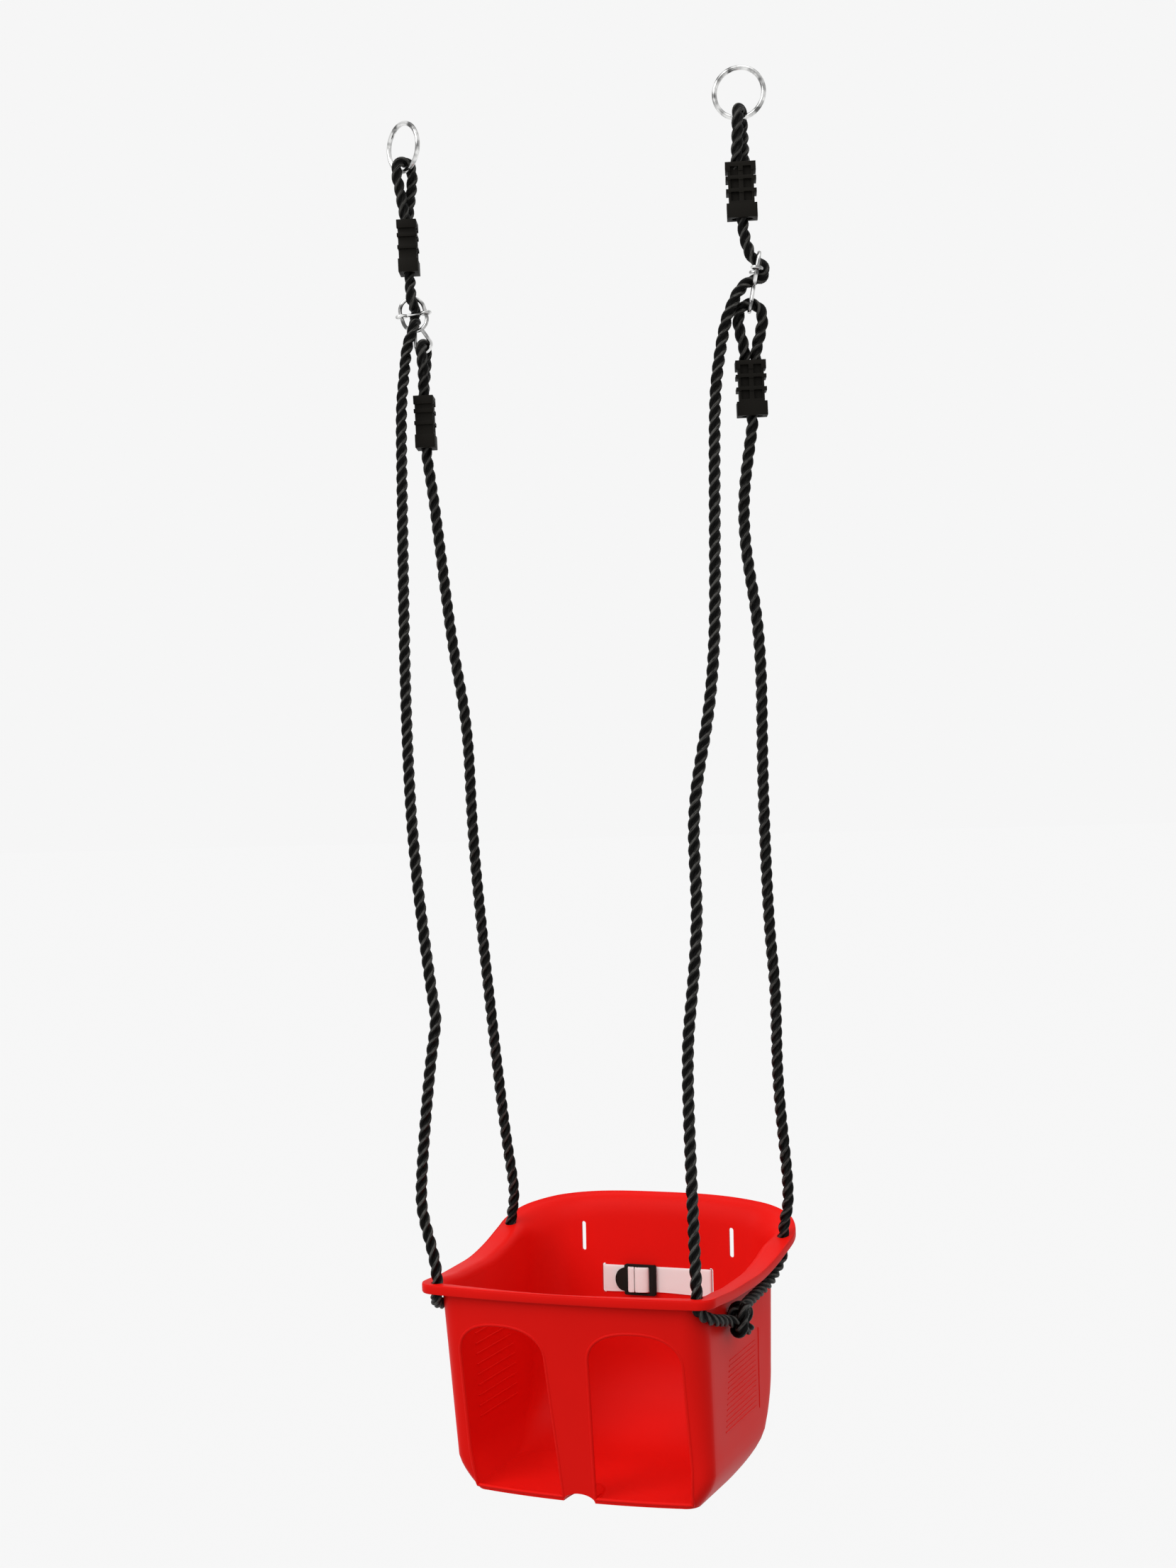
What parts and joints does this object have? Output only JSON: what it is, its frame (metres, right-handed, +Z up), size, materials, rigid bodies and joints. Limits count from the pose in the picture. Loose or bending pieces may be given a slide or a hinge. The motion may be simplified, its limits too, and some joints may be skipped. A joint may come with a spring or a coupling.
{
  "type": "toddler bucket swing",
  "caption": "Moulded toddler bucket swing seat hung on two black ropes with steel rings, clamp sleeves, wire length adjusters and a webbing lap belt.",
  "frame": {"origin": "on the swing's hanging axis, midway between the centres of the two rings", "axes": "+X to the right as seen from the front of the seat, -Y towards the front of the seat (the side with the leg openings), +Z up"},
  "size_m": [0.4305, 0.285, 1.4195],
  "materials": {
    "shell": "satin moulded polyethylene",
    "steel_wire": "bright zinc-plated wire",
    "rope": "laid three-strand black rope",
    "black_plastic": "moulded black plastic",
    "webbing": "pale woven webbing"
  },
  "bodies": {
    "rings": {"left_ring": "steel_wire", "right_ring": "steel_wire"},
    "swing": {"bucket": "shell", "left_rope": "rope", "right_rope": "rope", "left_upper_sleeve": "black_plastic", "right_upper_sleeve": "black_plastic", "left_lower_sleeve": "black_plastic", "right_lower_sleeve": "black_plastic", "left_adjuster": "steel_wire", "right_adjuster": "steel_wire", "left_adjuster_bar": "steel_wire", "right_adjuster_bar": "steel_wire", "belt": "webbing"},
    "buckle": {"belt_buckle": "black_plastic", "belt_fold": "webbing"}
  },
  "joints": [
    {"name": "swing_pivot", "type": "hinge", "parent": "rings", "child": "swing", "pos_m": [0, 0, -0.025], "axis": [1, 0, 0], "range_deg": [-40, 40]},
    {"name": "buckle_slide", "type": "slide", "parent": "swing", "child": "buckle", "axis": [1, 0, 0], "range_m": [-0.004, 0.05]}
  ]
}
